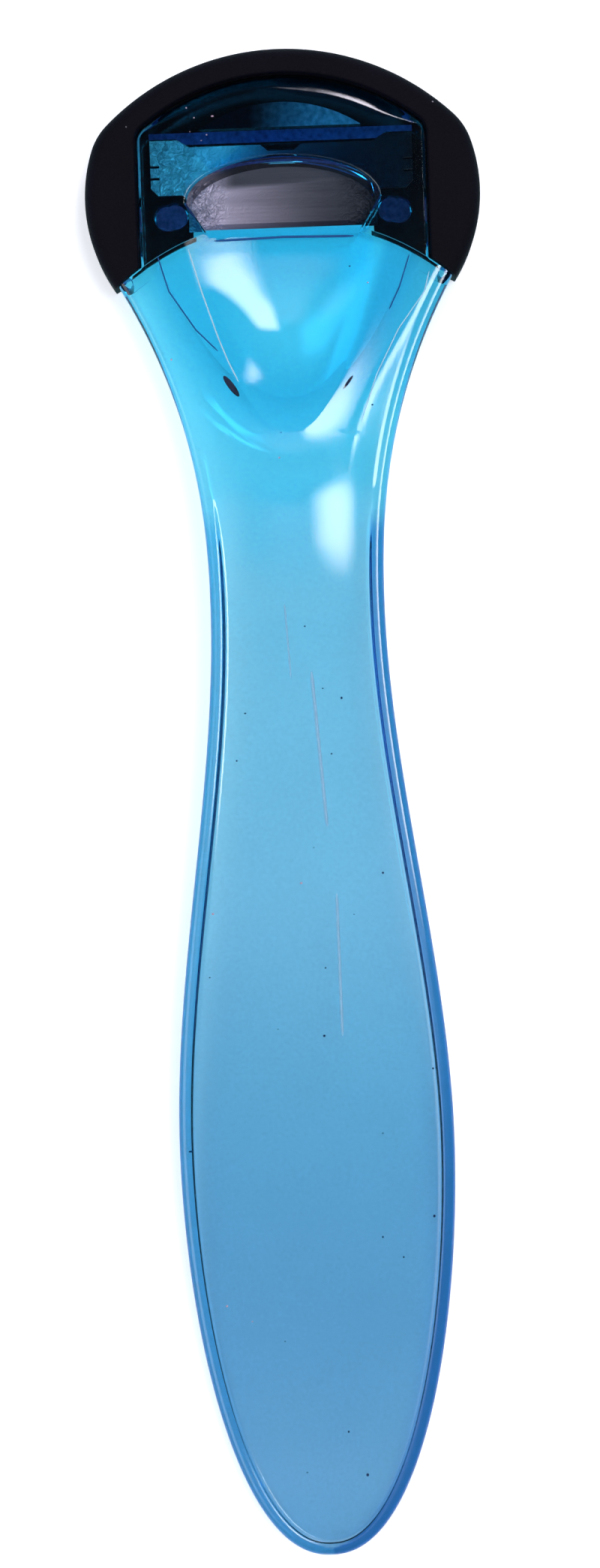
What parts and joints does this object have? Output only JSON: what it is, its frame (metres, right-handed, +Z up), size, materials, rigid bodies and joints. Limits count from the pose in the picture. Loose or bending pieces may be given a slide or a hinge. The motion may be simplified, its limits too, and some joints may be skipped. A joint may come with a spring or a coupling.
{
  "type": "callus shaver",
  "caption": "Hand-held callus shaver: clear blue paddle handle with a thumb scoop and windowed tongue, a T-shaped steel blade, and a black head cover that slides off.",
  "frame": {"origin": "on the table under the middle of the shaver's length and width, as it lies on its sole and its tail", "axes": "+X to the right across the handle, +Y along it towards the head, +Z up out of the user's side"},
  "size_m": [0.043, 0.1644, 0.008],
  "materials": {
    "clear_blue_plastic": "clear glossy moulded plastic, tinted blue, with moulding flow and dust",
    "black_plastic": "fine-grained matte moulded black",
    "blade_steel": "thin stamped steel strip, finely ground, with a bevelled cutting edge"
  },
  "bodies": {
    "handle": {"handle": "clear_blue_plastic", "blade": "blade_steel"},
    "head_cover": {"head_cover": "black_plastic"}
  },
  "joints": [
    {"name": "cover_slide", "type": "slide", "parent": "handle", "child": "head_cover", "axis": [0, 1, 0], "range_m": [0, 0.025]}
  ]
}
